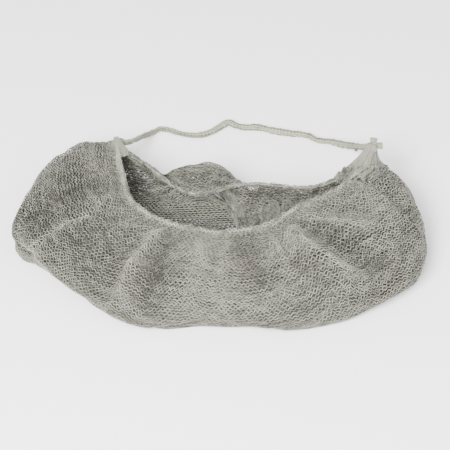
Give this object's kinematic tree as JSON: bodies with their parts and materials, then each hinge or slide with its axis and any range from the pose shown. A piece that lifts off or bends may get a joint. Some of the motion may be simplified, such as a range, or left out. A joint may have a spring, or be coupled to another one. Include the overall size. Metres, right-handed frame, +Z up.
{
  "type": "beard cover",
  "caption": "Knitted net beard cover lying puffed open: a thin mesh pouch with a gathered elastic round its mouth and an elastic head loop tied at both ends of the mouth.",
  "frame": {"origin": "on the table under the middle of the pouch, the middle of the bottom of its box", "axes": "+X along the length of the pouch to the right knot, -Y to its front, +Z up out of the mouth"},
  "size_m": [0.2376, 0.1776, 0.0493],
  "materials": {
    "net": "off-white knitted nylon net, matte",
    "rim_elastic": "off-white gathered elastic, matte",
    "loop_elastic": "cream knitted elastic cord, matte"
  },
  "bodies": {
    "root": {"net_pouch": "net", "rim_band": "rim_elastic", "seam_tuft": "rim_elastic", "head_loop": "loop_elastic", "knot_left": "loop_elastic", "knot_right": "loop_elastic", "cord_tail_upper": "loop_elastic", "cord_tail_lower": "loop_elastic"}
  },
  "joints": []
}
